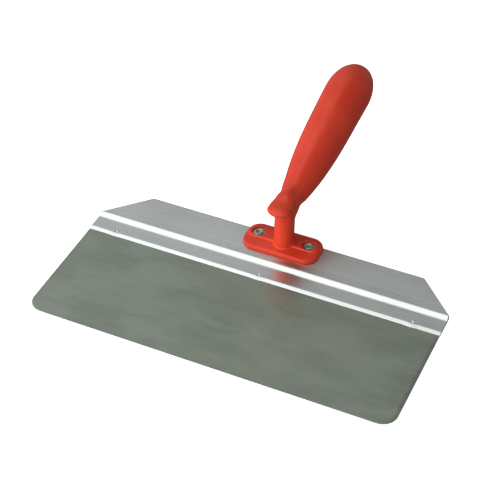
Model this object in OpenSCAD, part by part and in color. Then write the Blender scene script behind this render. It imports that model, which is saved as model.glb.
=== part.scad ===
// Flexible putty knife: a thin sprung blade in the slot of an extruded
// aluminium back, with a one-piece moulded handle riveted to the back.
//
// Frame: the origin is the middle of the blade's working edge, halfway through
// the sheet. +X runs along the edge, +Y from the edge to the handle, +Z up.

/* [Blade] */
// Width of the blade along its working edge
blade_w = 250; // [180:5:320]
// Length of blade that stands free in front of the lips
blade_free = 82; // [60:1:100]
// Thickness of the blade's sheet
blade_t = 0.45; // [0.3:0.05:0.6]
// Radius of the blade's two front corners
blade_r = 10; // [4:1:20]
// Depth of blade held inside the slot
blade_tail = 13; // [10:0.5:13]

/* [Back profile] */
// Thickness of each lip over and under the blade
lip_t = 0.92; // [0.7:0.02:1.2]
// Length of the sloping nose of each lip
lip_nose = 2.6; // [1.5:0.1:3.5]
// Depth of the back from the lips' nose to its rear edge
back_d = 43.5; // [40:0.5:48]
// Height of the rib's crest above the blade's middle plane
rib_h = 3.62; // [3.4:0.02:4.2]
// Height of the rear plate's upper face above the blade's middle plane
plate_h = 1.9; // [1.6:0.05:2.2]
// Length cut off each rear corner, measured along the edges
corner_cut = 26.2; // [10:0.2:26.2]
// Radius of the punch that dimples the upper lip onto the blade
dimple_r = 1.1; // [0.8:0.05:1.4]

/* [Handle] */
// Sideways offset of the handle from the middle of the blade
handle_x = 3.3; // [-6:0.1:6]
// Lean of the neck towards the grip, in degrees
neck_lean = 5.5; // [0:0.5:8]
// Length of the foot along the back
foot_l = 54; // [51:0.2:56]
// Depth of the foot across the back
foot_d = 24.4; // [23:0.1:26]
// Radius of the neck
neck_r = 6.8; // [5.5:0.1:7]
// Girth of the grip against its normal size
grip_k = 1; // [0.9:0.01:1.1]

/* [Rivets] */
// Distance between the two rivets
rivet_pitch = 36; // [34:0.5:37]
// Diameter of a rivet's shank
rivet_d = 4.4; // [4:0.1:4.8]
// Diameter of the washer under a rivet's rolled end
washer_d = 8; // [7:0.1:8.6]

/* [Hidden] */
$fn = 64;

half_w = blade_w / 2;
under = -(blade_t / 2 + lip_t);        // underside of the back, which rests on a table
lip_y = blade_free;                    // nose of the lips
strip_y = lip_y + lip_nose;            // where the flat strip starts
crest_y = lip_y + 15.7;                // crest of the rib
rear_y = lip_y + back_d;               // rear edge of the back
slot_y = lip_y + blade_tail + 0.6;     // bottom of the slot
foot_x = handle_x - 1.1;               // the foot sits a little to one side of the neck
foot_y = lip_y + 35.8;                 // middle of the foot
rivet_y = lip_y + 37.4;                // line of the rivets
neck_y = lip_y + 34.5;                 // axis of the neck where it meets the back
pad_top = plate_h + 4.6;               // flat top of the foot
seat_z = pad_top - 1.5;                // floor of the rivets' recesses
skirt_top = plate_h + 3;               // where the foot's skirt ends and its panel starts
skew = 0.006;                          // sideways drift of the grip per mm, from the neck to the end
washer_t = 0.5;

function arc(c, r, a0, a1, n) = [for (i = [0:n]) let (a = a0 + (a1 - a0) * i / n) c + r * [cos(a), sin(a)]];

// ---------------------------------------------------------------- blade
module blade_outline() {
    translate([-half_w, blade_r]) square([blade_w, blade_free + blade_tail - blade_r]);
    translate([-half_w + blade_r, 0]) square([blade_w - 2 * blade_r, blade_r + 1]);
    for (s = [-1, 1]) translate([s * (half_w - blade_r), blade_r]) circle(r = blade_r);
}

module blade() {
    color([0.46, 0.49, 0.46])
    translate([0, 0, -blade_t / 2]) linear_extrude(blade_t) blade_outline();
}

// --------------------------------------------------------- back profile
// The section in the Y-Z plane: two lips with sloping noses, the flat strip,
// the rib with a hollow fillet on each side, and the rear plate.
function back_section() = concat(
    [[strip_y, under], [lip_y + 0.15, -blade_t / 2 - 0.16], [lip_y, -blade_t / 2 - 0.02],
     [lip_y, blade_t / 2 + 0.02], [lip_y + 0.15, blade_t / 2 + 0.16], [strip_y, -under]],
    arc([crest_y - 3.15, -under + 1.5], 1.5, 270, 319, 6),     // hollow in front of the rib
    arc([crest_y, rib_h - 0.9], 0.9, 139, 20, 8),              // rounded crest
    arc([crest_y + 3, plate_h + 1.9], 1.9, 205, 270, 6),       // hollow behind the rib
    [[rear_y - 0.3, plate_h], [rear_y, plate_h - 0.3], [rear_y, under + 0.3], [rear_y - 0.3, under]]
);

module rivet_spots() {
    for (s = [-1, 1]) translate([foot_x + s * rivet_pitch / 2, rivet_y, 0]) children();
}

module countersink(g) {
    translate([0, 0, under - 0.01]) rotate_extrude()
        polygon([[0, 0], [rivet_d / 2 + 1.6 + g, 0], [rivet_d / 2 + 1.6 + g, 0.11], [rivet_d / 2 + g, 1.71], [0, 1.71]]);
}

module back_profile() {
    color([0.62, 0.65, 0.64])
    difference() {
        rotate([90, 0, 90]) translate([0, 0, -half_w]) linear_extrude(blade_w) polygon(back_section());
        // slot for the blade
        translate([-half_w - 1, lip_y - 1, -blade_t / 2]) cube([blade_w + 2, slot_y - lip_y + 1, blade_t]);
        // rear corners cut at 45 degrees
        for (s = [-1, 1]) translate([s * half_w, rear_y, under - 1])
            linear_extrude(8) polygon([[1 * s, -corner_cut - 1], [1 * s, 1], [-s * (corner_cut + 1), 1]]);
        // punch marks that pinch the upper lip onto the blade
        for (x = [-106.3, -0.5, 105.7]) translate([x, strip_y + 1.1, -under + 0.65]) sphere(r = dimple_r);
        // rivet holes, countersunk underneath
        rivet_spots() { translate([0, 0, under - 1]) cylinder(d = rivet_d, h = 6); countersink(0); }
    }
}

// --------------------------------------------------------------- handle
module rounded(l, d, r, h) {
    for (i = [-1, 1], j = [-1, 1]) translate([i * (l / 2 - r), j * (d / 2 - r), 0]) cylinder(r = r, h = h, $fn = 32);
}

module foot() {
    translate([foot_x, foot_y, 0]) {
        // skirt with a little draft
        hull() {
            translate([0, 0, plate_h]) rounded(foot_l, foot_d, 9, 0.4);
            translate([0, 0, skirt_top - 0.9]) rounded(foot_l - 1.2, foot_d - 1.2, 8.4, 0.1);
            translate([0, 0, skirt_top - 0.3]) rounded(foot_l - 2.2, foot_d - 2.2, 7.9, 0.1);
        }
        // panel that rises to the raised pad
        hull() {
            translate([0, 0, skirt_top - 0.3]) rounded(foot_l - 2.6, foot_d - 2.6, 7.7, 0.2);
            translate([0, 1.6, skirt_top + 0.6]) rounded(foot_l - 4.8, 11.2, 5.5, 0.1);
        }
    }
    // raised pad round the rivets
    translate([foot_x, rivet_y, plate_h + 2]) linear_extrude(pad_top - plate_h - 2) {
        square([rivet_pitch + 3.6, 10], center = true);
        for (s = [-1, 1]) translate([s * (rivet_pitch / 2 + 1.8), 0]) circle(r = 5);
    }
}

module neck() {
    translate([handle_x, neck_y, plate_h + 0.5]) rotate([-neck_lean, 0, 0]) rotate([0, 0, 13]) rotate_extrude() polygon(concat(
        [[0, 0.6], [neck_r + 0.7, 0.6], [neck_r + 0.7, 4.8]],
        arc([neck_r + 1.5, 6.2], 1.5, 240, 180, 5),
        [[neck_r, 31], [0, 31]]
    ));
}

// Stations along the grip from the thumb hook to the domed end:
// distance from the working edge, height, half-thickness, half-width.
stations = [
    [109.5, 38.5, 4.3, 7.2], [114.5, 37.7, 5.3, 7.5], [120.5, 36.4, 7.4, 7.9], [127, 35.3, 8.4, 8.4],
    [133.5, 35.1, 9, 9.1], [142, 36.2, 10.5, 10.6], [151.5, 38.3, 12.1, 12.2], [162, 40.9, 13.2, 13.6],
    [175, 44.1, 14.4, 14.7], [189, 47.5, 15, 15.4], [203, 50.9, 15.5, 15.8], [213, 53.2, 15.8, 16.1], [222, 55.1, 16, 16.3]
];
ns = len(stations);
sides = 28;

// Smooth curve through the stations
function st(i) = stations[max(0, min(ns - 1, i))];
function blend(i, t) = let (a = st(i - 1), b = st(i), c = st(i + 1), d = st(i + 2))
    0.5 * (2 * b + (c - a) * t + (2 * a - 5 * b + 4 * c - d) * t * t + (3 * b - a - 3 * c + d) * t * t * t);
steps = 3;
spine = [for (i = [0:ns - 2], k = [0:steps - 1]) blend(i, k / steps), st(ns - 1)];
function along(i) = let (p = spine[min(i + 1, len(spine) - 1)] - spine[max(i - 1, 0)], n = norm([p[0], p[1]])) [p[0], p[1]] / n;

// One ring of points square to the spine
function grip_x(y) = handle_x + skew * (y - neck_y);
function ring(c, t, r, w) = [for (k = [0:sides - 1]) let (a = 360 * (k + 0.5) / sides)
    [grip_x(c[0]) + w * cos(a), c[0] - t[1] * r * sin(a), c[1] + t[0] * r * sin(a)]];

dome = 8;
last = len(spine) - 1;
r_tip = spine[0][2] * grip_k;
w_tip = spine[0][3] * grip_k;
w_end = spine[last][3] * grip_k;
nose_len = 6;                          // how far the hook's blunt nose stands past the first station
r_end = spine[last][2] * grip_k;
t_tip = along(0);
t_end = along(last);
end_sag = 0.8;                         // how far the domed end droops below the grip's line
end_len = 26;                          // how far the domed end stands past the last station
function mid(i) = [spine[i][0], spine[i][1]];

// Rings from the hook's rounded nose, along the spine, to the domed end
rings = concat(
    [for (k = [dome - 1:-1:1]) let (a = 90 * k / dome) ring(mid(0) - nose_len * sin(a) * t_tip, t_tip, r_tip * pow(cos(a), 0.8), w_tip * pow(cos(a), 0.8))],
    [for (i = [0:last]) ring(mid(i), along(i), spine[i][2] * grip_k, spine[i][3] * grip_k)],
    [for (k = [1:dome - 1]) let (a = 90 * k / dome, u = sin(a))
        ring(mid(last) + end_len * u * t_end + end_sag * u * u * [t_end[1], -t_end[0]], t_end, r_end * pow(cos(a), 0.88), w_end * pow(cos(a), 0.88))]
);
nose = mid(0) - nose_len * t_tip;
tail = mid(last) + end_len * t_end + end_sag * [t_end[1], -t_end[0]];

module grip() {
    nr = len(rings);
    n = nr * sides;
    polyhedron(
        points = concat([for (r = rings, p = r) p], [[grip_x(nose[0]), nose[0], nose[1]], [grip_x(tail[0]), tail[0], tail[1]]]),
        faces = concat(
            [for (k = [0:sides - 1]) [n, (k + 1) % sides, k]],
            [for (i = [0:nr - 2], k = [0:sides - 1], h = [0, 1]) let (a = i * sides + k, b = i * sides + (k + 1) % sides)
                h == 0 ? [a, b, a + sides] : [b, b + sides, a + sides]],
            [for (k = [0:sides - 1]) [n + 1, n - sides + k, n - sides + (k + 1) % sides]]
        )
    );
}

module handle() {
    color([0.8, 0.2, 0.15])
    difference() {
        union() { foot(); neck(); grip(); }
        rivet_spots() {
            translate([0, 0, plate_h - 1]) cylinder(d = rivet_d, h = 10);
            translate([0, 0, seat_z]) cylinder(d = washer_d + 1.2, h = 4);
        }
    }
}

// --------------------------------------------------- rivets and washers
// A tubular rivet: countersunk head below, hollow shank, rolled end above.
module rivet() {
    top = seat_z + washer_t;
    difference() {
        union() {
            translate([0, 0, under]) rotate_extrude()
                polygon([[0, 0], [rivet_d / 2 + 1.6, 0], [rivet_d / 2 + 1.6, 0.1], [rivet_d / 2, 1.7], [0, 1.7]]);
            translate([0, 0, under + 1]) cylinder(d = rivet_d, h = top - under - 0.5);
            translate([0, 0, top]) rotate_extrude() polygon(concat(
                [[0, 0], [3.1, 0]], arc([2.55, 0.28], 0.55, -30, 90, 6), [[2.2, 0.83], [0, 0.7]]));
        }
        translate([0, 0, plate_h - 1]) cylinder(d = 2.8, h = 8);
    }
}

module washer() {
    translate([0, 0, seat_z]) difference() {
        cylinder(d = washer_d, h = washer_t);
        translate([0, 0, -1]) cylinder(d = rivet_d, h = 3);
    }
}

module rivet_left() { color([0.7, 0.71, 0.7]) translate([foot_x - rivet_pitch / 2, rivet_y, 0]) rivet(); }
module rivet_right() { color([0.7, 0.71, 0.7]) translate([foot_x + rivet_pitch / 2, rivet_y, 0]) rivet(); }
module washer_left() { color([0.78, 0.78, 0.76]) translate([foot_x - rivet_pitch / 2, rivet_y, 0]) washer(); }
module washer_right() { color([0.78, 0.78, 0.76]) translate([foot_x + rivet_pitch / 2, rivet_y, 0]) washer(); }

blade();
back_profile();
handle();
rivet_left();
rivet_right();
washer_left();
washer_right();
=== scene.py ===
import math

import bpy
import bmesh
import numpy as np
from mathutils import Matrix, Vector
from mathutils.geometry import tessellate_polygon


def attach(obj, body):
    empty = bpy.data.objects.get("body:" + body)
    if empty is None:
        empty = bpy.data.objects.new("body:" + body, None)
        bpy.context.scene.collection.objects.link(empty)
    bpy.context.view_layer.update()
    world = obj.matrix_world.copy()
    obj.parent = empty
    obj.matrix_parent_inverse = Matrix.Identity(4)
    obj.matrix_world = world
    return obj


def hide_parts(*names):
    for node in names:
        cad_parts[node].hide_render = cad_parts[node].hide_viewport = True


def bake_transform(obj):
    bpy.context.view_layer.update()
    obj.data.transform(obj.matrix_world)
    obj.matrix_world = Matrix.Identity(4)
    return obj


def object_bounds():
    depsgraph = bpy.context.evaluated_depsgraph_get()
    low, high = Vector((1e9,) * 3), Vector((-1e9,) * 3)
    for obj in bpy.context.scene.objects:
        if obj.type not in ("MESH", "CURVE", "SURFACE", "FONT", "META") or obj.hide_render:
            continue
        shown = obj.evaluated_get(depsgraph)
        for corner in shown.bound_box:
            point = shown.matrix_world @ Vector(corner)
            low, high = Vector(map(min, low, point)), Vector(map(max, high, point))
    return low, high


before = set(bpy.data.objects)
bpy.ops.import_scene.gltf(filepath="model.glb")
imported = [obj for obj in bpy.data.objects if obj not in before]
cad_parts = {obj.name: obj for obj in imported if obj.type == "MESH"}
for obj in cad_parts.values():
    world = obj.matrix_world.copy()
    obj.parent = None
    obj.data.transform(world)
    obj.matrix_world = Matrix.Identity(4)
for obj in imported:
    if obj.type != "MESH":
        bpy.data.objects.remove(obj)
cad_lo, cad_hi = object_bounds()
scene = bpy.context.scene
MM = 0.001

# ------------------------------------------------------------ camera and stage
cam_data = bpy.data.cameras.new("camera")
cam = bpy.data.objects.new("camera", cam_data)
scene.collection.objects.link(cam)
right = Vector((0.90473794, 0.42542419, -0.02152949))
down = Vector((0.27220301, -0.61628457, -0.73898501))
ahead = Vector((-0.32765039, 0.66272738, -0.67337778))
turn = Matrix((right, -down, -ahead)).transposed().to_4x4()
cam.matrix_world = Matrix.Translation((0.296726, -0.526999, 0.643553)) @ turn
cam_data.sensor_fit = "HORIZONTAL"
cam_data.sensor_width = 36
cam_data.lens = 103.66
cam_data.shift_x = -0.0006
cam_data.shift_y = -0.0003
cam_data.clip_start, cam_data.clip_end = 0.02, 60
cam_data.dof.use_dof = False
scene.camera = cam

scene.view_settings.view_transform = "Standard"
scene.view_settings.look = "None"
scene.view_settings.exposure = 0
scene.view_settings.gamma = 1


# --------------------------------------------------------------- node helpers
class Graph:
    """A short way to write a node tree."""

    def __init__(self, tree):
        self.t = tree
        tree.nodes.clear()

    def put(self, socket, value):
        if isinstance(value, bpy.types.NodeSocket):
            self.t.links.new(value, socket)
        elif value is not None:
            socket.default_value = value

    def add(self, kind, **inputs):
        n = self.t.nodes.new(kind)
        for key, value in inputs.items():
            self.put(n.inputs[key.replace("_", " ")], value)
        return n

    def math(self, op, a, b=None, c=None, clamp=False):
        n = self.t.nodes.new("ShaderNodeMath")
        n.operation = op
        n.use_clamp = clamp
        for i, v in enumerate((a, b, c)):
            self.put(n.inputs[i], v)
        return n.outputs[0]

    def vmath(self, op, a, b=None):
        n = self.t.nodes.new("ShaderNodeVectorMath")
        n.operation = op
        self.put(n.inputs[0], a)
        self.put(n.inputs[1], b)
        return n.outputs["Value"] if op in ("DOT_PRODUCT", "LENGTH") else n.outputs[0]

    def ramp(self, x, lo, hi, a=0.0, b=1.0, kind="SMOOTHSTEP"):
        n = self.t.nodes.new("ShaderNodeMapRange")
        n.interpolation_type = kind
        n.clamp = True if kind == "LINEAR" else n.clamp
        self.put(n.inputs["Value"], x)
        self.put(n.inputs["From Min"], lo)
        self.put(n.inputs["From Max"], hi)
        self.put(n.inputs["To Min"], a)
        self.put(n.inputs["To Max"], b)
        return n.outputs["Result"]

    def mix(self, f, a, b, blend="MIX"):
        n = self.t.nodes.new("ShaderNodeMix")
        n.data_type = "RGBA"
        n.blend_type = blend
        self.put(n.inputs[0], f)
        self.put(n.inputs[6], a)
        self.put(n.inputs[7], b)
        return n.outputs[2]

    def noise(self, vector, scale=1.0, detail=3.0, rough=0.5, distort=0.0):
        n = self.t.nodes.new("ShaderNodeTexNoise")
        self.put(n.inputs["Vector"], vector)
        n.inputs["Scale"].default_value = scale
        n.inputs["Detail"].default_value = detail
        n.inputs["Roughness"].default_value = rough
        n.inputs["Distortion"].default_value = distort
        return n.outputs["Fac"]

    def scaled(self, vector, sx, sy, sz, shift=(0, 0, 0)):
        n = self.t.nodes.new("ShaderNodeMapping")
        self.put(n.inputs["Vector"], vector)
        n.inputs["Location"].default_value = shift
        n.inputs["Scale"].default_value = (sx, sy, sz)
        return n.outputs[0]

    def bump(self, height, strength, distance, normal=None):
        n = self.t.nodes.new("ShaderNodeBump")
        n.inputs["Strength"].default_value = strength
        n.inputs["Distance"].default_value = distance
        self.put(n.inputs["Height"], height)
        if normal is not None:
            self.put(n.inputs["Normal"], normal)
        return n.outputs[0]


def material(name):
    m = bpy.data.materials.new(name)
    m.use_nodes = True
    g = Graph(m.node_tree)
    out = g.t.nodes.new("ShaderNodeOutputMaterial")
    bsdf = g.t.nodes.new("ShaderNodeBsdfPrincipled")
    g.t.links.new(bsdf.outputs[0], out.inputs[0])
    where = g.t.nodes.new("ShaderNodeTexCoord").outputs["Object"]
    return m, g, bsdf, where


def rgba(r, g, b):
    return (r, g, b, 1.0)


# ------------------------------------------------------------------ the light
# A studio made of soft boxes in the world: strong ones low in front, one
# overhead, weaker ones at the left and behind, and a dim wall all round.
def studio():
    world = bpy.data.worlds.new("studio")
    scene.world = world
    world.use_nodes = True
    g = Graph(world.node_tree)
    out = g.t.nodes.new("ShaderNodeOutputWorld")
    back = g.t.nodes.new("ShaderNodeBackground")
    g.t.links.new(back.outputs[0], out.inputs[0])
    d = g.t.nodes.new("ShaderNodeTexCoord").outputs["Generated"]
    total = None

    def box(to, wide, soft, level):
        nonlocal total
        v = Vector(to).normalized()
        c = g.vmath("DOT_PRODUCT", d, (v.x, v.y, v.z))
        lit = g.ramp(c, math.cos(math.radians(wide + soft)), math.cos(math.radians(wide - soft)), 0.0, level)
        total = lit if total is None else g.math("ADD", total, lit)

    for b in BOXES:
        box(*b)
    z = g.t.nodes.new("ShaderNodeSeparateXYZ")
    g.put(z.inputs[0], d)
    wall = g.ramp(z.outputs[2], -0.1, 0.15, UNDER, WALL)
    total = g.math("ADD", total, wall)
    g.put(back.inputs["Color"], rgba(1, 1, 1))
    g.put(back.inputs["Strength"], total)


BOXES = [
    # towards, half-width in degrees, softness, level
    ((-0.33, 0.12, 0.93), 13, 8, 1.55),
    ((-0.33, 0.45, 0.83), 12, 8, 0.25),
    ((-0.30, -0.40, 0.86), 20, 17, 0.75),
    ((-0.25, -0.75, 0.60), 18, 12, 0.7),
    ((0.00, -0.95, 0.25), 31, 16, 0.5),
    ((-0.66, -0.72, 0.15), 32, 16, 0.5),
    ((-0.95, -0.20, 0.20), 24, 18, 0.6),
    ((-0.75, -0.20, 0.62), 24, 22, 0.5),
    ((-0.70, 0.65, 0.30), 26, 14, 0.3),
    ((-0.33, 0.66, 0.67), 22, 12, 0.2),
    ((0.40, 0.85, 0.35), 26, 14, 0.26),
    ((0.95, 0.00, 0.25), 26, 14, 0.22),
    ((0.75, -0.65, 0.20), 32, 16, 0.5),
    ((0.65, -0.10, 0.75), 22, 12, 0.35),
]
WALL = 0.085
UNDER = 0.18
studio()


def white_stage():
    bm = bmesh.new()
    bmesh.ops.create_grid(bm, x_segments=8, y_segments=8, size=3.0)
    me = bpy.data.meshes.new("floor")
    bm.to_mesh(me)
    bm.free()
    floor = bpy.data.objects.new("floor", me)
    floor.location = (0, 0.12, cad_lo.z - 0.0001)
    scene.collection.objects.link(floor)
    m, g, b, where = material("floor_paper")
    grain = g.noise(where, 900, 4)
    g.put(b.inputs["Base Color"], g.mix(grain, rgba(0.90, 0.90, 0.90), rgba(0.94, 0.94, 0.94)))
    b.inputs["Roughness"].default_value = 0.9
    b.inputs["Specular IOR Level"].default_value = 0.0
    b.inputs["Emission Color"].default_value = (1, 1, 1, 1)
    b.inputs["Emission Strength"].default_value = FLOOR_GLOW
    me.materials.append(m)
    floor.visible_diffuse = False
    floor.visible_glossy = False
    # a pale wall far away, seen by the camera alone
    bm = bmesh.new()
    bmesh.ops.create_uvsphere(bm, u_segments=48, v_segments=24, radius=12)
    me = bpy.data.meshes.new("backdrop")
    bm.to_mesh(me)
    bm.free()
    wall = bpy.data.objects.new("backdrop", me)
    scene.collection.objects.link(wall)
    m = bpy.data.materials.new("backdrop_white")
    m.use_nodes = True
    g = Graph(m.node_tree)
    out = g.t.nodes.new("ShaderNodeOutputMaterial")
    e = g.t.nodes.new("ShaderNodeEmission")
    e.inputs["Strength"].default_value = 1.0
    g.t.links.new(e.outputs[0], out.inputs[0])
    me.materials.append(m)
    wall.visible_diffuse = wall.visible_glossy = wall.visible_shadow = False
    wall.visible_transmission = wall.visible_volume_scatter = False


FLOOR_GLOW = 0.8


def fill_light(name, at, aim, size, power):
    """A wide soft fill that lights the plastic and leaves the metal's reflections alone."""
    lamp = bpy.data.lights.new(name, "AREA")
    lamp.shape = "DISK"
    lamp.size = size
    lamp.energy = power
    ob = bpy.data.objects.new(name, lamp)
    ob.location = at
    ob.rotation_euler = (Vector(aim) - Vector(at)).to_track_quat("-Z", "Y").to_euler()
    ob.visible_glossy = False
    scene.collection.objects.link(ob)


fill_light("fill_front_left", (-0.85, -0.75, 0.20), (0.0, 0.15, 0.03), 0.6, 11.5)
fill_light("fill_front", (0.05, -1.05, 0.32), (0.0, 0.15, 0.03), 0.6, 3.8)
white_stage()


# ------------------------------------------------------------------ materials
def blade_material():
    m, g, b, where = material("blade_steel")
    long_fine = g.noise(g.scaled(where, 14, 2600, 300), 1, 3, 0.6)
    streak = g.noise(g.scaled(where, 9, 150, 20, (3.1, 0.7, 0)), 1, 5, 0.6, 0.4)
    cloud = g.noise(g.scaled(where, 22, 48, 20, (1.7, 5.2, 0)), 1, 4, 0.6, 0.6)
    big = g.noise(g.scaled(where, 7, 16, 10, (8.3, 2.1, 0)), 1, 2, 0.5)
    tone = g.ramp(cloud, 0.35, 0.65)
    colour = g.mix(tone, rgba(*BLADE_DARK), rgba(*BLADE_LIGHT))
    colour = g.mix(g.math("MULTIPLY", g.ramp(streak, 0.42, 0.66), 0.5), colour, rgba(*BLADE_STREAK))
    colour = g.mix(g.math("MULTIPLY", g.ramp(big, 0.45, 0.7), 0.35), colour, rgba(*BLADE_WARM))
    shade = g.ramp(long_fine, 0.3, 0.7, 0.93, 1.07, "LINEAR")
    grey = g.t.nodes.new("ShaderNodeCombineXYZ")
    for i in range(3):
        g.put(grey.inputs[i], shade)
    colour = g.mix(1.0, colour, grey.outputs[0], "MULTIPLY")
    g.put(b.inputs["Base Color"], colour)
    b.inputs["Metallic"].default_value = 1.0
    rough = g.math("ADD", g.ramp(cloud, 0.3, 0.7, 0.34, 0.46, "LINEAR"), g.ramp(long_fine, 0.3, 0.7, -0.03, 0.03, "LINEAR"))
    g.put(b.inputs["Roughness"], rough)
    normal = g.bump(long_fine, 0.10, 0.00004)
    normal = g.bump(streak, 0.08, 0.0001, normal)
    g.put(b.inputs["Normal"], normal)
    return m


def aluminium_material():
    m, g, b, where = material("back_aluminium")
    fine = g.noise(g.scaled(where, 10, 3600, 3600), 1, 2, 0.6)
    line = g.noise(g.scaled(where, 5, 800, 800, (2.3, 1.1, 0)), 1, 4, 0.65)
    patch = g.noise(g.scaled(where, 18, 40, 40, (4.2, 0, 3)), 1, 3, 0.5)
    colour = g.mix(g.ramp(patch, 0.35, 0.65), rgba(*ALU_DARK), rgba(*ALU_LIGHT))
    shade = g.math("ADD", g.ramp(fine, 0.3, 0.7, -0.05, 0.05, "LINEAR"), g.ramp(line, 0.3, 0.7, 0.94, 1.05, "LINEAR"))
    grey = g.t.nodes.new("ShaderNodeCombineXYZ")
    for i in range(3):
        g.put(grey.inputs[i], shade)
    colour = g.mix(1.0, colour, grey.outputs[0], "MULTIPLY")
    # the lip and strip in front of the rib are made 4% brighter than the plate behind it, fading out across the rib
    parts = g.t.nodes.new("ShaderNodeSeparateXYZ")
    g.put(parts.inputs[0], where)
    brighter_in_front = g.ramp(parts.outputs[1], 0.0935, 0.0975, 1.0, 0.0)
    colour = g.mix(brighter_in_front, colour, g.mix(1.0, colour, rgba(1.04, 1.04, 1.04), "MULTIPLY"))
    g.put(b.inputs["Base Color"], colour)
    b.inputs["Metallic"].default_value = 1.0
    rough = g.math("ADD", g.ramp(line, 0.3, 0.7, 0.27, 0.36, "LINEAR"), g.ramp(patch, 0.3, 0.7, -0.02, 0.02, "LINEAR"))
    g.put(b.inputs["Roughness"], rough)
    normal = g.bump(fine, 0.10, 0.00003)
    normal = g.bump(line, 0.10, 0.00008, normal)
    g.put(b.inputs["Normal"], normal)
    return m


def plastic_material():
    m, g, b, where = material("handle_plastic")
    haze = g.noise(where, 45, 3, 0.5)
    grain = g.noise(where, 2600, 3, 0.6)
    peel = g.noise(where, 700, 2, 0.5)
    colour = g.mix(g.ramp(haze, 0.35, 0.65), rgba(*RED_A), rgba(*RED_B))
    g.put(b.inputs["Base Color"], colour)
    b.inputs["IOR"].default_value = 1.46
    b.inputs["Specular IOR Level"].default_value = 0.4
    g.put(b.inputs["Roughness"], g.math("ADD", g.ramp(peel, 0.3, 0.7, 0.34, 0.42, "LINEAR"), g.ramp(haze, 0.3, 0.7, -0.02, 0.03, "LINEAR")))
    normal = g.bump(peel, 0.12, 0.00006)
    normal = g.bump(grain, 0.10, 0.00002, normal)
    g.put(b.inputs["Normal"], normal)
    return m


def plated_material(name, dark, light, rough):
    m, g, b, where = material(name)
    spots = g.noise(where, 900, 4, 0.6)
    blot = g.noise(where, 260, 3, 0.5)
    colour = g.mix(g.ramp(blot, 0.35, 0.65), rgba(*dark), rgba(*light))
    colour = g.mix(g.math("MULTIPLY", g.ramp(spots, 0.55, 0.7), 0.4), colour, rgba(dark[0] * 0.6, dark[1] * 0.6, dark[2] * 0.55))
    g.put(b.inputs["Base Color"], colour)
    b.inputs["Metallic"].default_value = 1.0
    g.put(b.inputs["Roughness"], g.ramp(spots, 0.3, 0.7, rough - 0.06, rough + 0.08, "LINEAR"))
    g.put(b.inputs["Normal"], g.bump(spots, 0.15, 0.00004))
    return m


BLADE_DARK, BLADE_LIGHT = (0.292, 0.338, 0.280), (0.352, 0.400, 0.342)
BLADE_STREAK, BLADE_WARM = (0.345, 0.392, 0.345), (0.290, 0.318, 0.240)
ALU_DARK, ALU_LIGHT = (0.60, 0.645, 0.625), (0.67, 0.71, 0.69)
RED_A, RED_B = (0.50, 0.030, 0.010), (0.54, 0.038, 0.013)

steel = blade_material()
alu = aluminium_material()
red = plastic_material()
rivet_metal = plated_material("rivet_metal", (0.32, 0.37, 0.31), (0.42, 0.47, 0.40), 0.46)
washer_metal = plated_material("washer_metal", (0.38, 0.42, 0.37), (0.50, 0.54, 0.48), 0.40)


# ------------------------------------------------------------------- meshing
def make_mesh(name, verts, faces, mat):
    """verts in millimetres; faces is a list of tuples or an (n, 4) array."""
    me = bpy.data.meshes.new(name)
    v = np.asarray(verts, np.float64) * MM
    if isinstance(faces, np.ndarray):
        n, k = faces.shape
        me.vertices.add(len(v))
        me.vertices.foreach_set("co", v.astype(np.float32).ravel())
        me.loops.add(n * k)
        me.loops.foreach_set("vertex_index", faces.astype(np.int32).ravel())
        me.polygons.add(n)
        me.polygons.foreach_set("loop_start", np.arange(0, n * k, k, dtype=np.int32))
        me.update(calc_edges=True)
    else:
        me.from_pydata(v.tolist(), [], [tuple(int(i) for i in f) for f in faces])
    me.validate()
    me.update()
    me.polygons.foreach_set("use_smooth", np.ones(len(me.polygons), bool))
    me.materials.append(mat)
    ob = bpy.data.objects.new(name, me)
    scene.collection.objects.link(ob)
    return ob


def arc(cy, cz, r, a0, a1, n):
    a = np.radians(np.linspace(a0, a1, n + 1))
    return [(cy + r * math.cos(t), cz + r * math.sin(t)) for t in a]


def revolve(name, profile, centre, mat, n=64, wobble=None):
    """A lathe round +Z; profile is (radius, height) from the axis to the axis."""
    verts, faces = [], []
    rows = []
    for r, z in profile:
        if r < 1e-6:
            rows.append([len(verts)])
            verts.append((centre[0], centre[1], z))
        else:
            row = []
            for k in range(n):
                a = 2 * math.pi * k / n
                dr = wobble(a, r, z) if wobble else 0.0
                row.append(len(verts))
                verts.append((centre[0] + (r + dr) * math.cos(a), centre[1] + (r + dr) * math.sin(a), z))
            rows.append(row)
    for a, b in zip(rows, rows[1:]):
        for k in range(n):
            k2 = (k + 1) % n
            if len(a) == 1 and len(b) == 1:
                continue
            if len(a) == 1:
                faces.append((a[0], b[k], b[k2]))
            elif len(b) == 1:
                faces.append((a[k], b[0], a[k2]))
            else:
                faces.append((a[k], b[k], b[k2], a[k2]))
    ob = make_mesh(name, verts, faces, mat)
    bm = bmesh.new()
    bm.from_mesh(ob.data)
    bmesh.ops.recalc_face_normals(bm, faces=bm.faces)
    bm.to_mesh(ob.data)
    bm.free()
    ob.data.set_sharp_from_angle(angle=math.radians(40))
    return ob


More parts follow.
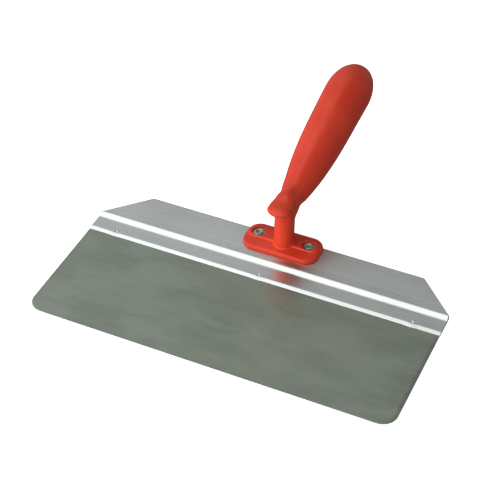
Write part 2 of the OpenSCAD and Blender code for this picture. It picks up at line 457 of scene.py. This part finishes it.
# --------------------------------------------------------------------- blade
def blade():
    t, e, w0, r = 0.225, 0.07, 125.0, 10.0
    ys = [r * (1 - math.cos(a)) for a in np.linspace(0, math.pi / 2, 15)]
    ys += list(np.arange(12, 81, 2.0)) + [81, 82, 83, 84.5, 88, 92, 95]
    ss = np.concatenate([np.linspace(-1, -0.9, 5)[:-1], np.linspace(-0.9, 0.9, 61), np.linspace(0.9, 1, 5)[1:]])
    ys = np.array(ys)

    def half(y):
        return w0 if y >= r else w0 - r + math.sqrt(max(0.0, r * r - (r - y) ** 2))

    ny, ns = len(ys), len(ss)
    top = np.array([[(s * half(y), y) for s in ss] for y in ys])

    def inset(p, amount):
        """Moves the border points of the grid inwards, for a thin bevel."""
        q = p.copy()
        for i in range(ny):
            for j in (0, ns - 1):
                sx = -1 if j == 0 else 1
                y = ys[i]
                if y < r:
                    n = Vector((math.sqrt(max(0, r * r - (r - y) ** 2)) * sx, -(r - y))).normalized()
                else:
                    n = Vector((sx, 0))
                q[i, j] -= amount * np.array(n)
        for j in range(1, ns - 1):
            q[0, j, 1] += amount
            q[-1, j, 1] -= amount
        q[-1, 0, 1] -= amount
        q[-1, -1, 1] -= amount
        return q

    faceted = inset(top, e)
    verts, faces = [], []
    border = [(0, j) for j in range(ns)] + [(i, ns - 1) for i in range(1, ny)] + [(ny - 1, j) for j in range(ns - 2, -1, -1)] + [(i, 0) for i in range(ny - 2, 0, -1)]
    base = []
    for z in (t, -t):
        base.append(len(verts))
        verts += [(x, y, z) for x, y in faceted.reshape(-1, 2)]
    for i in range(ny - 1):
        for j in range(ns - 1):
            a, b, c, d = i * ns + j, i * ns + j + 1, (i + 1) * ns + j + 1, (i + 1) * ns + j
            faces.append((a, b, c, d))
            faces.append(tuple(base[1] + k for k in (d, c, b, a)))
    rings = [[base[0] + i * ns + j for i, j in border]]
    mid = inset(top, e * 0.3)
    for z, grid in ((t - e * 0.3, mid), (t - e, top), (-t + e, top), (-t + e * 0.3, mid)):
        rings.append(list(range(len(verts), len(verts) + len(border))))
        verts += [(grid[i, j, 0], grid[i, j, 1], z) for i, j in border]
    rings.append([base[1] + i * ns + j for i, j in border])
    n = len(border)
    for u, v in zip(rings, rings[1:]):
        for k in range(n):
            k2 = (k + 1) % n
            faces.append((u[k], v[k], v[k2], u[k2]))
    ob = make_mesh("blade_sheet", verts, faces, steel)
    ob.data.set_sharp_from_angle(angle=math.radians(50))
    return ob


blade_ob = blade()
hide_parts("blade")
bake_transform(blade_ob)

# -------------------------------------------------------------- back profile
DIMPLES = (-106.3, -0.5, 105.7)
FOOT = (2.2, 117.8)
RIVETS = (2.2 - 18.0, 2.2 + 18.0)
RIVET_Y = 119.4


def back_section():
    """Closed section in (y, z), clockwise seen from +X, starting in the slot."""
    p = [(95.6, 0.225), (95.2, 0.225), (90, 0.225), (86, 0.225), (82.35, 0.225)]
    p += arc(81.9, 0.325, 0.07, -60, -250, 6)
    # straight sloping nose, then a narrow edge into the strip
    p += [(82.3, 0.51), (82.8, 0.655), (83.3, 0.80), (83.8, 0.945), (84.25, 1.07), (84.45, 1.115), (84.6, 1.136)]
    p += [(84.75, 1.145)] + [(y, 1.145) for y in np.arange(84.9, 86.9, 0.14)] + [(y, 1.145) for y in (87.4, 88.5, 90, 91.5, 92.6)]
    p += arc(94.05, 5.345, 4.2, 270, 282, 6)[:-1] + arc(94.674, 2.411, 1.2, 282, 319, 9)
    p += [(96.06, 2.176), (96.54, 2.728)]
    p += arc(97.7, 2.72, 0.9, 139, 20, 16)
    # wide hollow that runs out onto the plate
    p += [(y, 1.9 + 1.2 * ((100.7 - y) / 1.95) ** 2.6) for y in (98.75, 99.0, 99.3, 99.5, 99.7, 99.9, 100.1, 100.3, 100.5, 100.7)]
    p += [(y, 1.9) for y in (102, 103, 106, 110, 114, 118, 122, 124)]
    p += arc(125.2, 1.6, 0.3, 90, 0, 4) + [(125.5, 0.4)] + arc(125.2, -0.845, 0.3, 0, -90, 4)
    p += [(y, -1.145) for y in (124, 120, 114, 108, 103)] + [(99.3, -1.145)] + [(y, -1.145) for y in (96, 92, 88, 85.3)]
    p += [(84.5, -1.127), (84.2, -1.09), (83.8, -1.025), (83.4, -0.935), (83.0, -0.815), (82.6, -0.65), (82.25, -0.47)]
    p += arc(82.17, -0.395, 0.17, 190, 60, 6)
    p += [(82.35, -0.225), (86, -0.225), (90, -0.225), (95.2, -0.225), (95.6, -0.225)]
    return np.array(p)


def back():
    sec = back_section()
    ns = len(sec)
    nxt, prv = np.roll(sec, -1, 0), np.roll(sec, 1, 0)
    tan = nxt - prv
    tan /= np.linalg.norm(tan, axis=1)[:, None] + 1e-12
    inward = np.stack([tan[:, 1], -tan[:, 0]], 1)  # clockwise, so the inside is to the right
    e = 0.07
    xs = set(np.round(np.arange(-120, 121, 5.0), 3))
    for c in DIMPLES:
        xs |= set(np.round(np.arange(c - 1.7, c + 1.71, 0.17), 3))
        xs |= set(np.round(np.arange(c - 9, c + 9.1, 1.5), 3))
    xs |= {-124.6, 124.6, -123, 123}
    xs = sorted(x for x in xs if abs(x) <= 124.6)
    kept = [xs[0]]
    for x in xs[1:]:
        if x - kept[-1] > 0.08:
            kept.append(x)
    rows = [("end", -1)] + [("in", x / 125) for x in [-125 + e] + kept + [125 - e]] + [("end", 1)]
    verts = []
    xend = 125 - np.maximum(0, sec[:, 0] - 99.3)
    for kind, s in rows:
        if kind == "end":
            q = sec + inward * e * 0.9
            x = s * xend
        else:
            q = sec.copy()
            x = s * xend
        y, z = q[:, 0].copy(), q[:, 1].copy()
        for c in DIMPLES:
            d2 = (x - c) ** 2
            pit2 = (x - c + 0.4) ** 2 + (y - 85.7) ** 2
            burr2 = (x - c - 0.75) ** 2 + ((y - 85.9) * 1.1) ** 2
            # the lip swells towards the blade under each punch mark
            nose = np.clip((84.9 - y) / 2.0, 0, 1) * (z > 0.28)
            y -= np.where((y < 84.9) & (z > 0.05), 0.34 * np.clip((84.9 - y) / 1.5, 0, 1) * np.exp(-d2 / 11.0), 0)
            z = np.where((nose > 0) & (y < 84.4), z + 0.02 * np.exp(-d2 / 11.0), z)
            # the mark itself: a dent, and the burr that the punch raised beside it
            on_top = (np.abs(z - 1.145) < 0.05) & (y > 84.5) & (y < 88)
            floor = 1.145 + 0.30 - np.sqrt(np.maximum(1.0 - pit2, 0))
            z = np.where(on_top, z + 0.30 * np.exp(-burr2 / 0.24), z)
            z = np.where(on_top & (pit2 < 1.0), np.minimum(z, floor), z)
        verts.append(np.stack([x, y, z], 1))
    nr = len(rows)
    verts = np.concatenate(verts)
    faces = []
    for i in range(nr - 1):
        for k in range(ns - 1):
            a, b = i * ns + k, i * ns + k + 1
            faces.append((a, b, b + ns, a + ns))
        a, b = i * ns + ns - 1, i * ns
        faces.append((a, b, b + ns, a + ns))
    # end caps, in two planes that meet where the corner is cut off
    split = [k for k in range(ns) if abs(sec[k, 0] - 99.3) < 1e-6]
    k0, k1 = split[0], split[-1]
    front = list(range(0, k0 + 1)) + list(range(k1, ns))
    rear = list(range(k0, k1 + 1))
    for row, flip in ((0, False), (nr - 1, True)):
        for part in (front, rear):
            tri = tessellate_polygon([[Vector((verts[row * ns + k][1], verts[row * ns + k][2], 0)) for k in part]])
            for f in tri:
                faces.append(tuple(row * ns + part[i] for i in f))
    ob = make_mesh("back_extrusion", verts, faces, alu)
    bm = bmesh.new()
    bm.from_mesh(ob.data)
    bmesh.ops.recalc_face_normals(bm, faces=bm.faces)
    bm.to_mesh(ob.data)
    bm.free()
    # countersunk rivet holes from below
    for i, x in enumerate(RIVETS):
        cut = revolve(f"cutter_{i}", [(0, -2), (3.86, -2), (3.86, -1.04), (2.28, 0.56), (2.28, 3), (0, 3)], (x, RIVET_Y), alu, 48)
        mod = ob.modifiers.new("hole", "BOOLEAN")
        mod.object = cut
        mod.operation = "DIFFERENCE"
        mod.solver = "EXACT"
        bpy.context.view_layer.objects.active = ob
        with bpy.context.temp_override(object=ob, active_object=ob, selected_objects=[ob]):
            bpy.ops.object.modifier_apply(modifier="hole")
        bpy.data.objects.remove(cut)
    ob.data.polygons.foreach_set("use_smooth", np.ones(len(ob.data.polygons), bool))
    ob.data.set_sharp_from_angle(angle=math.radians(28))
    return ob


back_ob = back()
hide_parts("back_profile")
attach(back_ob, "frame")

# -------------------------------------------------------------------- handle
# The handle is one moulding: a distance field of the grip, neck and foot with
# soft joins, meshed and then drawn exactly onto its surface.
HX = 3.3
SKEW = 0.006
STATIONS = np.array([
    [109.5, 38.8, 4.2, 7.8], [114.5, 38.0, 5.3, 8.0], [120.5, 36.4, 7.7, 7.2], [127, 35.2, 8.4, 6.9],
    [133.5, 35.1, 9.0, 9.1], [142, 36.2, 10.5, 10.6], [151.5, 38.3, 12.1, 12.2], [162, 40.9, 13.2, 13.6],
    [175, 44.1, 14.4, 14.7], [189, 47.5, 15, 15.4], [203, 50.9, 15.5, 15.8], [213, 53.2, 15.8, 16.1], [222, 55.1, 16, 16.3],
], float)
NOSE_LEN = 5.7
GIRTH = 0.99


def spine(steps):
    n = len(STATIONS)
    out = []
    for i in range(n - 1):
        a, b, c, d = (STATIONS[max(0, min(n - 1, i + j))] for j in (-1, 0, 1, 2))
        for k in range(steps):
            t = k / steps
            out.append(0.5 * (2 * b + (c - a) * t + (2 * a - 5 * b + 4 * c - d) * t * t + (3 * b - a - 3 * c + d) * t ** 3))
    out.append(STATIONS[-1])
    return np.array(out)


SPINE = spine(14)
SEG_A, SEG_B = SPINE[:-1], SPINE[1:]
END = SPINE[-1]
T_END = (SPINE[-1] - SPINE[-15])[:2]
T_END = T_END / np.linalg.norm(T_END)
END_LEN, END_SAG = 25.8, 0.8
T_NOSE = (SPINE[1] - SPINE[0])[:2]
T_NOSE = T_NOSE / np.linalg.norm(T_NOSE)


def smin(a, b, k):
    h = np.maximum(k - np.abs(a - b), 0) / k
    return np.minimum(a, b) - h * h * k * 0.25


def smax(a, b, k):
    return -smin(-a, -b, k)


def rect(x, y, lx, ly, r):
    qx, qy = np.abs(x) - (lx / 2 - r), np.abs(y) - (ly / 2 - r)
    return np.hypot(np.maximum(qx, 0), np.maximum(qy, 0)) + np.minimum(np.maximum(qx, qy), 0) - r


def step(a, b, x):
    t = np.clip((x - a) / (b - a), 0, 1)
    return t * t * (3 - 2 * t)


def near_spine(y, z):
    """Distance in the plane to the spine, and the radius there, for flat arrays."""
    best = np.full(y.shape, 1e9)
    rad = np.ones(y.shape)
    wid = np.ones(y.shape)
    for a, b in zip(SEG_A, SEG_B):
        dy, dz = b[0] - a[0], b[1] - a[1]
        l2 = dy * dy + dz * dz
        t = np.clip(((y - a[0]) * dy + (z - a[1]) * dz) / l2, 0, 1)
        d = np.hypot(y - a[0] - t * dy, z - a[1] - t * dz)
        m = d < best
        best = np.where(m, d, best)
        rad = np.where(m, a[2] + t * (b[2] - a[2]), rad)
        wid = np.where(m, a[3] + t * (b[3] - a[3]), wid)
    return best, rad, wid


def handle_field(x, y, z, plane=None):
    """Signed distance, in mm, of the whole moulding; negative inside."""
    px = x - HX
    gx = px - SKEW * (y - 116)
    d2, r2, w2 = near_spine(y, z) if plane is None else plane
    grip = (np.sqrt((gx / w2) ** 2 + (d2 / r2) ** 2) - GIRTH) * np.minimum(r2, w2)
    # blunt nose of the thumb hook
    u = -(y - SPINE[0, 0]) * T_NOSE[0] - (z - SPINE[0, 1]) * T_NOSE[1]
    v = -(y - SPINE[0, 0]) * T_NOSE[1] + (z - SPINE[0, 1]) * T_NOSE[0]
    un = np.maximum(u, 0) / NOSE_LEN
    rho = np.sqrt((gx / SPINE[0, 3]) ** 2 + (v / SPINE[0, 2]) ** 2) / GIRTH
    nose = (np.sqrt(un * un + rho ** 2.5 + 1e-12) - 1) * SPINE[0, 2]
    grip = np.where(u > 0, nose, grip)
    # flat rest for the thumb on top of the hook
    rest = z - 42.2 - 0.1 * (y - 109) - 0.08 * np.maximum(y - 114, 0) ** 2
    grip = np.where(y < 135, smax(grip, rest, 3.0), grip)
    # domed end
    u = (y - END[0]) * T_END[0] + (z - END[1]) * T_END[1]
    v = -(y - END[0]) * T_END[1] + (z - END[1]) * T_END[0]
    un = np.maximum(u, 0) / END_LEN
    vc = -END_SAG * un * un
    rho = np.sqrt((gx / END[3]) ** 2 + ((v - vc) / END[2]) ** 2) / GIRTH
    dome = (np.sqrt(un * un + rho ** 2.27 + 1e-12) - 1) * END[2]
    grip = np.where(u > 0, dome, grip)
    # neck
    lean = math.radians(5.5)
    ay, az = math.sin(lean), math.cos(lean)
    s = (y - 116.5) * ay + (z - 2.4) * az
    q = np.sqrt(px * px + ((y - 116.5) * az - (z - 2.4) * ay) ** 2)
    neck = smax(q - 6.75, s - 33.5, 2.0)
    neck = np.maximum(neck, 2.0 - z)
    # foot: skirt with draft, sloping panel, raised pad
    fx, fy = x - FOOT[0], y - FOOT[1]
    k = np.clip((z - 2.3) / 2.6, 0, 1)
    skirt = rect(fx, fy, 54 - 1.2 * k, 24.4 - 1.2 * k, 9 - 0.6 * k)
    outer = rect(fx, fy, 51.6, 22, 7.8)
    inner = rect(fx, fy - 1.6, 49.6, 11.4, 5.6)
    share = np.clip(-outer / np.maximum(-outer + np.maximum(inner, 0), 1e-6), 0, 1)
    top = 4.85 + 0.7 * share
    foot = smax(skirt, (z - top) * 0.97, 0.9)
    foot = np.maximum(foot, 1.9 - z)
    pad = smax(rect(fx, y - RIVET_Y, 49.6, 10, 4.99), z - 6.5, 1.0)
    foot = smin(foot, pad, 0.7)
    for rx in RIVETS:
        hole = np.hypot(x - rx, y - RIVET_Y)
        foot = smax(foot, -smax(hole - 4.5, 5.0 - z, 0.35), 0.45)
        foot = np.maximum(foot, -(hole - 2.3))
    # soft joins: tight under the hook, wide behind the neck
    body = smin(neck, foot, 1.2)
    soft = 1.3 + 7.0 * step(116.0, 125.0, y)
    return smin(grip, body, soft)


def surface_net(F, origin, h):
    S = F < 0
    cnt = np.zeros(tuple(n - 1 for n in F.shape), np.int8)
    for i in (0, 1):
        for j in (0, 1):
            for k in (0, 1):
                cnt += S[i:S.shape[0] - 1 + i, j:S.shape[1] - 1 + j, k:S.shape[2] - 1 + k]
    active = (cnt > 0) & (cnt < 8)
    idx = np.full(active.shape, -1, np.int64)
    cells = np.argwhere(active)
    idx[active] = np.arange(len(cells))
    acc, num = np.zeros((len(cells), 3)), np.zeros(len(cells))
    corners = [(i, j, k) for i in (0, 1) for j in (0, 1) for k in (0, 1)]
    for a in corners:
        for axis in range(3):
            if a[axis]:
                continue
            b = list(a)
            b[axis] = 1
            fa = F[cells[:, 0] + a[0], cells[:, 1] + a[1], cells[:, 2] + a[2]].astype(float)
            fb = F[cells[:, 0] + b[0], cells[:, 1] + b[1], cells[:, 2] + b[2]].astype(float)
            m = (fa < 0) != (fb < 0)
            t = np.where(m, fa / np.where(m, fa - fb, 1), 0)
            p = np.array(a, float) + t[:, None] * (np.array(b) - np.array(a))
            acc[m] += p[m]
            num[m] += 1
    V = origin + h * (cells + acc / num[:, None])
    quads = []
    for axis in range(3):
        u, v = (axis + 1) % 3, (axis + 2) % 3
        lo = [slice(None)] * 3
        hi = [slice(None)] * 3
        lo[axis], hi[axis] = slice(0, -1), slice(1, None)
        change = S[tuple(lo)] != S[tuple(hi)]
        e = np.argwhere(change)
        e = e[(e[:, u] > 0) & (e[:, v] > 0) & (e[:, u] < F.shape[u] - 1) & (e[:, v] < F.shape[v] - 1)]
        du, dv = np.zeros(3, int), np.zeros(3, int)
        du[u], dv[v] = 1, 1
        q = np.stack([idx[tuple((e - o).T)] for o in (0 * du, du, du + dv, dv)], 1)
        inside_low = S[tuple(e.T)]
        q[~inside_low] = q[~inside_low][:, ::-1]
        quads.append(q)
    return V, np.concatenate(quads)


def gradient(P, eps=0.02):
    f = handle_field(P[:, 0], P[:, 1], P[:, 2])
    g = np.zeros_like(P)
    for i in range(3):
        d = np.zeros(3)
        d[i] = eps
        A, B = P + d, P - d
        g[:, i] = (handle_field(A[:, 0], A[:, 1], A[:, 2]) - handle_field(B[:, 0], B[:, 1], B[:, 2])) / (2 * eps)
    return f, g


def handle():
    h = 0.42
    lo = np.array([-26.0, 101.6, 0.6])
    hi = np.array([31.2, 249.6, 73.0])
    n = np.ceil((hi - lo) / h).astype(int) + 1
    ax = [lo[i] + h * np.arange(n[i]) for i in range(3)]
    Y, Z = np.meshgrid(ax[1], ax[2], indexing="ij")
    plane = tuple(a.reshape(Y.shape) for a in near_spine(Y.ravel(), Z.ravel()))
    F = np.empty((n[0], n[1], n[2]), np.float32)
    for i, x in enumerate(ax[0]):
        F[i] = handle_field(np.full(Y.shape, x), Y, Z, plane)
    V, Q = surface_net(F, lo, h)
    del F
    edges = np.concatenate([Q[:, [0, 1]], Q[:, [1, 2]], Q[:, [2, 3]], Q[:, [3, 0]]])
    for turn_no in range(3):
        acc, num = np.zeros_like(V), np.zeros(len(V))
        for a, b in ((0, 1), (1, 0)):
            for c in range(3):
                acc[:, c] += np.bincount(edges[:, a], V[edges[:, b], c], len(V))
            num += np.bincount(edges[:, a], minlength=len(V))
        f, g = gradient(V)
        g2 = np.sum(g * g, 1)
        nrm = g / np.sqrt(g2 + 1e-12)[:, None]
        if turn_no < 2:
            move = acc / num[:, None] - V
            move -= np.sum(move * nrm, 1)[:, None] * nrm
            V = V + 0.6 * move
            f, g = gradient(V)
            g2 = np.sum(g * g, 1)
        push = (f / np.maximum(g2, 0.05))[:, None] * g
        size = np.linalg.norm(push, axis=1)
        V = V - push * np.minimum(1, 0.4 * h / np.maximum(size, 1e-9))[:, None]
    f, g = gradient(V, 0.06)
    N = g / (np.linalg.norm(g, axis=1) + 1e-12)[:, None]
    ob = make_mesh("handle_moulding", V, Q, red)
    if len(ob.data.vertices) == len(N):
        ob.data.normals_split_custom_set_from_vertices(N.tolist())
    return ob


handle_ob = handle()
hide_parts("handle")
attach(handle_ob, "frame")


# -------------------------------------------------------- rivets and washers
def rivet(name, x, seed):
    z0 = -1.145
    prof = [(0, z0), (3.2, z0), (3.68, z0 + 0.01), (3.78, z0 + 0.1), (2.2, z0 + 1.7), (2.2, 5.5)]
    prof += [(2.9, 5.5), (3.02, 5.52)] + [(2.5 + 0.6 * math.cos(math.radians(a)), 5.74 + 0.59 * math.sin(math.radians(a))) for a in range(-20, 100, 12)]
    prof += [(2.3, 6.31), (2.05, 6.22), (1.78, 6.02), (1.55, 5.7), (1.42, 5.3), (1.36, 5.0), (1.1, 4.88), (0.5, 4.93), (0, 4.95)]

    def wobble(a, r, z):
        return 0.05 * math.sin(5 * a + seed) * max(0.0, z - 5.4) * (r > 1.6) + 0.03 * math.sin(9 * a + 2 * seed) * max(0.0, z - 5.6)

    ob = revolve(name, prof, (x, RIVET_Y), rivet_metal, 72, wobble)
    return ob


def washer(name, x):
    prof = [(2.22, 5.0), (3.9, 5.0), (3.97, 5.05), (4.0, 5.12), (4.0, 5.34), (3.95, 5.44), (3.83, 5.49), (3.7, 5.5), (2.4, 5.5), (2.28, 5.47), (2.22, 5.4), (2.22, 5.0)]
    return revolve(name, prof, (x, RIVET_Y), washer_metal, 72)


for side, x, seed in (("left", RIVETS[0], 0.7), ("right", RIVETS[1], 2.9)):
    rv = rivet(f"rivet_tube_{side}", x, seed)
    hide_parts(f"rivet_{side}")
    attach(rv, "frame")
    ws = washer(f"washer_disc_{side}", x)
    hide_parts(f"washer_{side}")
    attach(ws, "frame")
